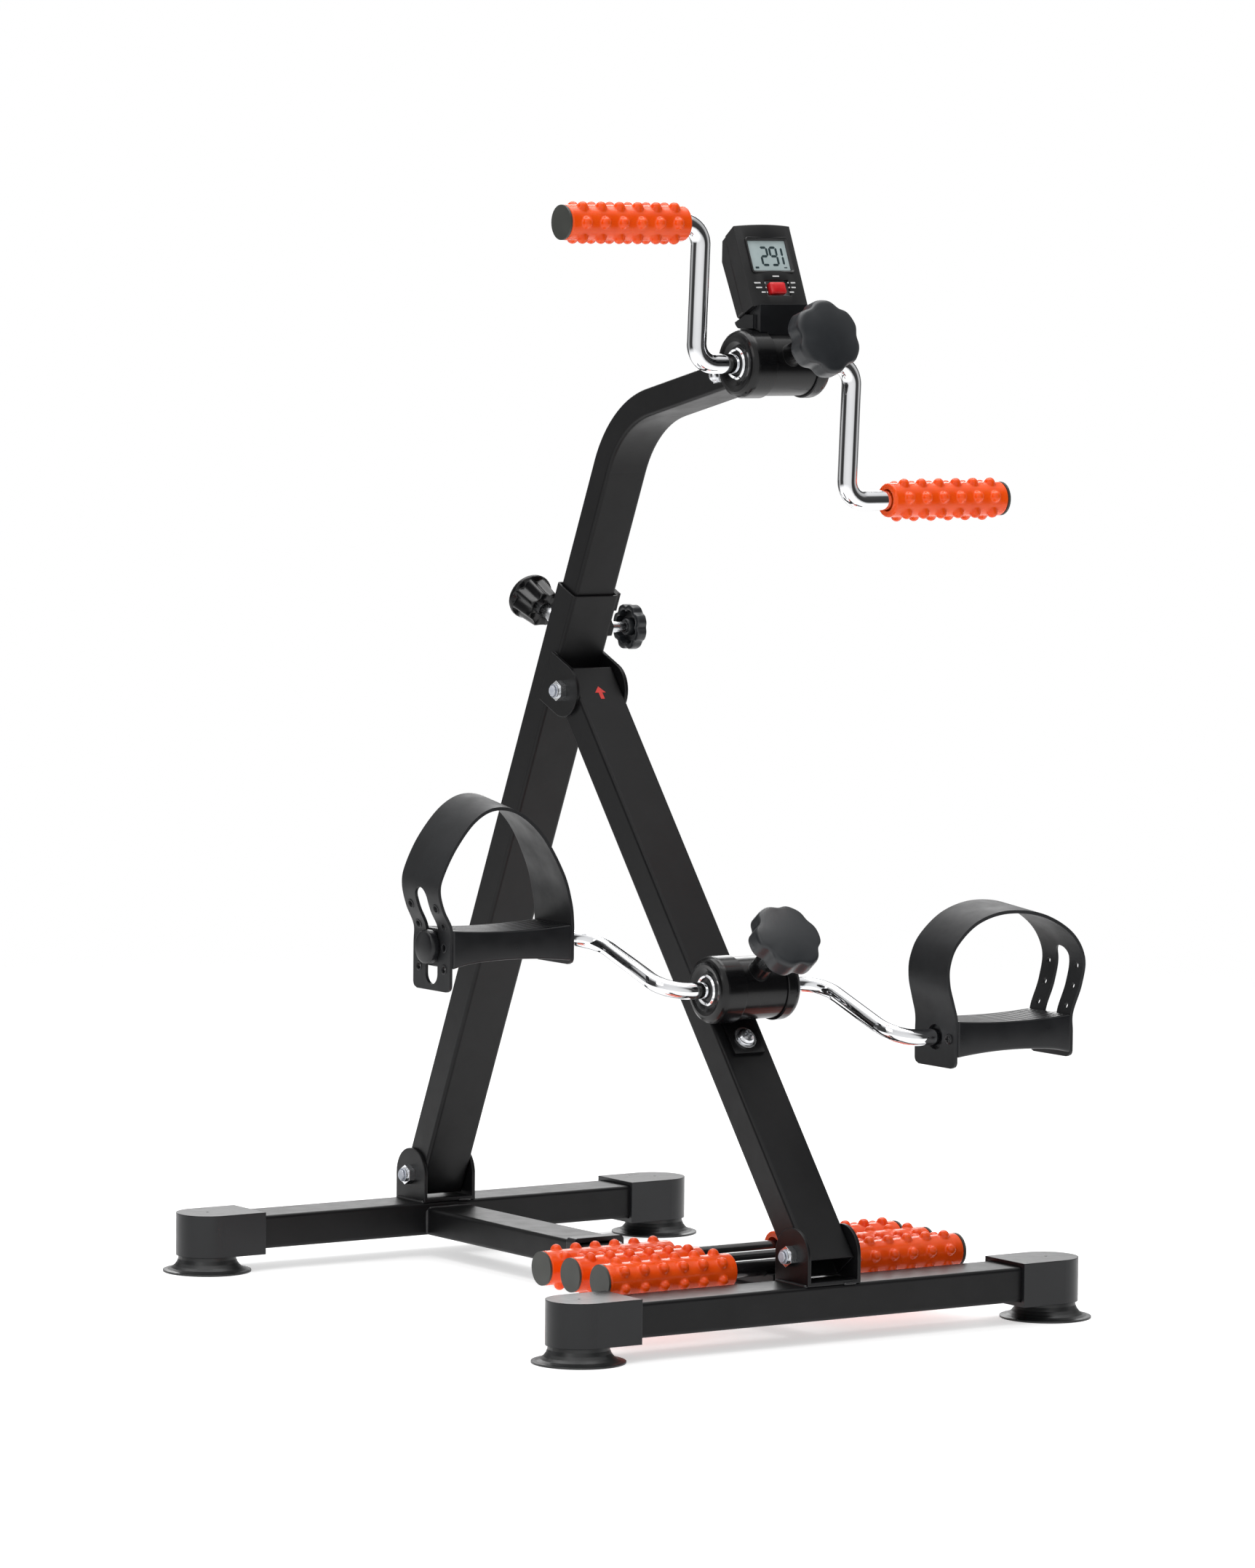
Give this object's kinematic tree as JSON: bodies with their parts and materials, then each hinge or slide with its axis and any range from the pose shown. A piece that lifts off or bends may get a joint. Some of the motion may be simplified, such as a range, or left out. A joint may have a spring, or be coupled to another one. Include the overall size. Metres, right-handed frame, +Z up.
{
  "type": "pedal exerciser",
  "caption": "Folding A-frame exerciser with foot pedals on the front strut, hand cranks on an adjustable mast, massage rollers on the base and a small counter display.",
  "frame": {"origin": "on the floor, in the middle of the four suction cups", "axes": "+X along the crank axes to the right of the frame as seen by the seated user, +Y away from the user, +Z up"},
  "size_m": [0.47, 0.566, 0.7977],
  "materials": {
    "powder_coat": "satin black powder coat",
    "axle_paint": "gloss black paint",
    "black_moulding": "fine moulded texture",
    "cup_rubber": "smooth soft rubber",
    "knob_black": "satin moulded",
    "gloss_black": "high gloss",
    "case_black": "satin moulded",
    "lcd": "grey-green liquid crystal",
    "mode_red": "satin red",
    "orange_grip": "bright orange vinyl",
    "plug_grey": "satin",
    "strap_black": "soft moulded vinyl",
    "bearing_nylon": "nylon",
    "chrome_rod": "bright chrome plate",
    "zinc_hardware": "bright zinc plate",
    "brake_steel": "turned steel"
  },
  "bodies": {
    "rear_base": {"rear_base_frame": "powder_coat", "rear_foot_caps": "black_moulding", "rear_suction_cups": "cup_rubber", "base_collar": "black_moulding", "rear_pivot_bolt": "zinc_hardware"},
    "upright": {"upright_frame": "powder_coat", "top_pivot_bolt": "zinc_hardware"},
    "height_lock": {"height_knob": "gloss_black", "height_pin": "zinc_hardware"},
    "clamp_slide": {"clamp_screw": "zinc_hardware"},
    "clamp_turn": {"clamp_knob": "knob_black"},
    "mast": {"mast_tube": "powder_coat", "upper_housing": "gloss_black", "upper_caps": "gloss_black", "upper_hub_rings": "chrome_rod", "upper_bearings": "bearing_nylon", "upper_mount_bolt": "zinc_hardware", "display_bracket": "black_moulding", "display_front": "case_black", "display_back": "case_black", "display_lcd": "lcd"},
    "mode_key": {"mode_button": "mode_red"},
    "hand_crank": {"upper_drum": "brake_steel", "upper_left_crank": "chrome_rod", "upper_right_crank": "chrome_rod", "grip_end_plugs": "plug_grey"},
    "left_hand_grip": {"left_grip": "orange_grip"},
    "right_hand_grip": {"right_grip": "orange_grip"},
    "upper_brake": {"upper_brake_pad": "brake_steel"},
    "upper_tensioner": {"upper_tension_screw": "zinc_hardware", "upper_tension_knob": "knob_black"},
    "strut": {"strut_tube": "powder_coat", "lower_housing": "gloss_black", "lower_caps": "gloss_black", "lower_hub_rings": "chrome_rod", "lower_bearings": "bearing_nylon", "lower_mount_bolt": "zinc_hardware"},
    "foot_crank": {"lower_drum": "brake_steel", "lower_left_crank": "chrome_rod", "lower_right_crank": "chrome_rod"},
    "left_foot_pedal": {"left_pedal": "black_moulding", "left_strap": "strap_black"},
    "right_foot_pedal": {"right_pedal": "black_moulding", "right_strap": "strap_black"},
    "lower_brake": {"lower_brake_pad": "brake_steel"},
    "lower_tensioner": {"lower_tension_screw": "zinc_hardware", "lower_tension_knob": "knob_black"},
    "front_base": {"front_base_frame": "powder_coat", "front_foot_caps": "black_moulding", "front_suction_cups": "cup_rubber", "front_pivot_bolt": "zinc_hardware", "roller_rods": "axle_paint", "roller_end_plugs": "plug_grey"},
    "snap_key": {"snap_button": "zinc_hardware"},
    "roller_front_left_body": {"roller_front_left": "orange_grip"},
    "roller_front_right_body": {"roller_front_right": "orange_grip"},
    "roller_middle_left_body": {"roller_middle_left": "orange_grip"},
    "roller_middle_right_body": {"roller_middle_right": "orange_grip"},
    "roller_rear_left_body": {"roller_rear_left": "orange_grip"},
    "roller_rear_right_body": {"roller_rear_right": "orange_grip"}
  },
  "joints": [
    {"name": "frame_fold", "type": "hinge", "parent": "rear_base", "child": "upright", "pos_m": [0, 0.25, 0.0605], "axis": [-1, 0, 0], "range_deg": [0, 12], "deforming": ["snap_button"]},
    {"name": "strut_fold", "type": "hinge", "parent": "upright", "child": "strut", "pos_m": [0, 0.04793, 0.44096], "axis": [-1, 0, 0], "range_deg": [-19.19, 0.05]},
    {"name": "base_fold", "type": "hinge", "parent": "strut", "child": "front_base", "pos_m": [0, -0.25, 0.0605], "axis": [-1, 0, 0], "range_deg": [-0.05, 7.19]},
    {"name": "mast_height", "type": "slide", "parent": "upright", "child": "mast", "axis": [0, -0.4051, 0.9143], "range_m": [-0.075, 0.05]},
    {"name": "height_pin_pull", "type": "slide", "parent": "upright", "child": "height_lock", "axis": [0, 0.9143, 0.4051], "range_m": [-0.004, 0.006]},
    {"name": "clamp_travel", "type": "slide", "parent": "upright", "child": "clamp_slide", "axis": [1, 0, 0], "range_m": [-0.00001, 0.00251]},
    {"name": "clamp_turn_loose", "type": "hinge", "parent": "clamp_slide", "child": "clamp_turn", "pos_m": [0.04, 0.06161, 0.48563], "axis": [1, 0, 0], "range_deg": [0, 720]},
    {"name": "hand_crank_spin", "type": "hinge", "parent": "mast", "child": "hand_crank", "pos_m": [0, -0.18502, 0.68497], "axis": [1, 0, 0], "continuous": true},
    {"name": "left_grip_spin", "type": "hinge", "parent": "hand_crank", "child": "left_hand_grip", "pos_m": [-0.13, -0.19015, 0.78284], "axis": [1, 0, 0], "continuous": true},
    {"name": "right_grip_spin", "type": "hinge", "parent": "hand_crank", "child": "right_hand_grip", "pos_m": [0.15, -0.17989, 0.58711], "axis": [1, 0, 0], "continuous": true},
    {"name": "upper_brake_travel", "type": "slide", "parent": "mast", "child": "upper_brake", "axis": [0, 0.9537, -0.3007], "range_m": [-0.00001, 0.00251]},
    {"name": "upper_tension_turn", "type": "hinge", "parent": "upper_brake", "child": "upper_tensioner", "pos_m": [0, -0.18502, 0.68497], "axis": [0, 0.9537, -0.3007], "range_deg": [0, 720]},
    {"name": "mode_press", "type": "slide", "parent": "mast", "child": "mode_key", "axis": [0, 0.9178, -0.3971], "range_m": [0, 0.001]},
    {"name": "foot_crank_spin", "type": "hinge", "parent": "strut", "child": "foot_crank", "pos_m": [0, -0.15644, 0.23999], "axis": [1, 0, 0], "continuous": true},
    {"name": "left_pedal_spin", "type": "hinge", "parent": "foot_crank", "child": "left_foot_pedal", "pos_m": [-0.153, -0.06361, 0.27141], "axis": [-1, 0, 0], "continuous": true},
    {"name": "right_pedal_spin", "type": "hinge", "parent": "foot_crank", "child": "right_foot_pedal", "pos_m": [0.153, -0.24926, 0.20857], "axis": [-1, 0, 0], "continuous": true},
    {"name": "lower_brake_travel", "type": "slide", "parent": "strut", "child": "lower_brake", "axis": [0, 0.7873, -0.6165], "range_m": [-0.00001, 0.00251]},
    {"name": "lower_tension_turn", "type": "hinge", "parent": "lower_brake", "child": "lower_tensioner", "pos_m": [0, -0.15644, 0.23999], "axis": [0, 0.7873, -0.6165], "range_deg": [0, 720]},
    {"name": "snap_press", "type": "slide", "parent": "front_base", "child": "snap_key", "axis": [0, 0, -1], "range_m": [0, 0.0045]},
    {"name": "roller_front_left_spin", "type": "hinge", "parent": "front_base", "child": "roller_front_left_body", "pos_m": [-0.099, -0.205, 0.0465], "axis": [1, 0, 0], "continuous": true},
    {"name": "roller_front_right_spin", "type": "hinge", "parent": "front_base", "child": "roller_front_right_body", "pos_m": [0.099, -0.205, 0.0465], "axis": [1, 0, 0], "continuous": true},
    {"name": "roller_middle_left_spin", "type": "hinge", "parent": "front_base", "child": "roller_middle_left_body", "pos_m": [-0.099, -0.168, 0.0465], "axis": [1, 0, 0], "continuous": true},
    {"name": "roller_middle_right_spin", "type": "hinge", "parent": "front_base", "child": "roller_middle_right_body", "pos_m": [0.099, -0.168, 0.0465], "axis": [1, 0, 0], "continuous": true},
    {"name": "roller_rear_left_spin", "type": "hinge", "parent": "front_base", "child": "roller_rear_left_body", "pos_m": [-0.099, -0.131, 0.0465], "axis": [1, 0, 0], "continuous": true},
    {"name": "roller_rear_right_spin", "type": "hinge", "parent": "front_base", "child": "roller_rear_right_body", "pos_m": [0.099, -0.131, 0.0465], "axis": [1, 0, 0], "continuous": true}
  ],
  "couplings": [
    {"joint": "strut_fold", "follows": "frame_fold", "ratio": -1.595},
    {"joint": "base_fold", "follows": "frame_fold", "ratio": 0.595},
    {"joint": "clamp_travel", "follows": "clamp_turn_loose", "m_per_rad": 0.00019894},
    {"joint": "upper_brake_travel", "follows": "upper_tension_turn", "m_per_rad": 0.00019894},
    {"joint": "lower_brake_travel", "follows": "lower_tension_turn", "m_per_rad": 0.00019894}
  ]
}
